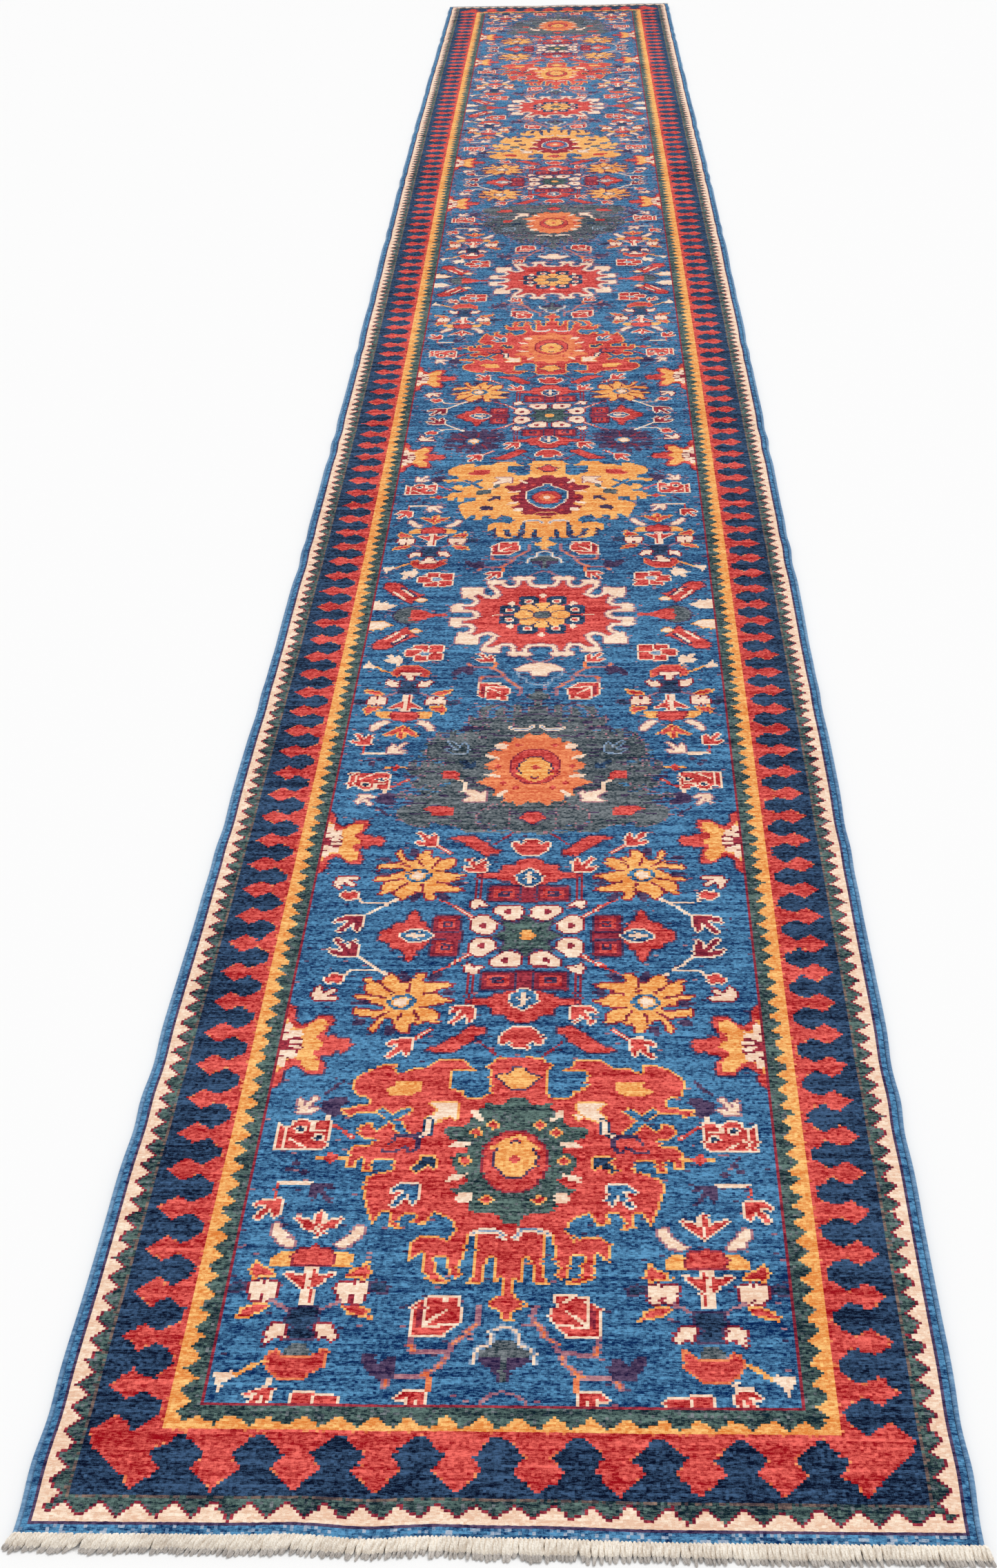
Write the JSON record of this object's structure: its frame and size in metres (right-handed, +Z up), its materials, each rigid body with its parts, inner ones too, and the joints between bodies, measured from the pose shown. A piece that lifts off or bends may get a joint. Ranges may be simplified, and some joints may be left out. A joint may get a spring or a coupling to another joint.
{
  "type": "runner rug",
  "caption": "Long, narrow hand-knotted wool runner with a patterned blue field, sawtooth borders, overcast side selvedges and short cotton fringes.",
  "frame": {"origin": "under the middle of the rug, on the floor it lies on", "axes": "+Y along the rug's length, away from the near end; +X across it; +Z up out of the pile"},
  "size_m": [0.84, 6.978, 0.008],
  "materials": {
    "foundation_cotton": "undyed woven cotton",
    "field_wool": "cut wool pile, streaked blue",
    "field_stripe_wool": "cut wool pile, madder red",
    "inner_guard_wool": "cut wool pile, gold",
    "main_border_wool": "cut wool pile, madder red and navy",
    "outer_guard_wool": "cut wool pile, ivory",
    "edge_band_wool": "cut wool pile, deep blue",
    "selvedge_wool": "overcast wool, light blue",
    "fringe_cotton": "twisted undyed cotton"
  },
  "bodies": {
    "root": {"foundation_web": "foundation_cotton", "edge_band_left": "edge_band_wool", "edge_band_right": "edge_band_wool", "edge_band_near": "edge_band_wool", "edge_band_far": "edge_band_wool", "outer_guard_left": "outer_guard_wool", "outer_guard_right": "outer_guard_wool", "outer_guard_near": "outer_guard_wool", "outer_guard_far": "outer_guard_wool", "main_border_left": "main_border_wool", "main_border_right": "main_border_wool", "main_border_near": "main_border_wool", "main_border_far": "main_border_wool", "inner_guard_left": "inner_guard_wool", "inner_guard_right": "inner_guard_wool", "inner_guard_near": "inner_guard_wool", "inner_guard_far": "inner_guard_wool", "field_stripe_left": "field_stripe_wool", "field_stripe_right": "field_stripe_wool", "field_stripe_near": "field_stripe_wool", "field_stripe_far": "field_stripe_wool", "field": "field_wool", "selvedge_overcast_left": "selvedge_wool", "selvedge_core_left": "foundation_cotton", "selvedge_overcast_right": "selvedge_wool", "selvedge_core_right": "foundation_cotton", "weft_twining_near": "fringe_cotton", "fringe_near_1": "fringe_cotton", "fringe_near_2": "fringe_cotton", "fringe_near_3": "fringe_cotton", "fringe_near_4": "fringe_cotton", "fringe_near_5": "fringe_cotton", "weft_twining_far": "fringe_cotton", "fringe_far_1": "fringe_cotton", "fringe_far_2": "fringe_cotton", "fringe_far_3": "fringe_cotton", "fringe_far_4": "fringe_cotton", "fringe_far_5": "fringe_cotton"}
  },
  "joints": []
}
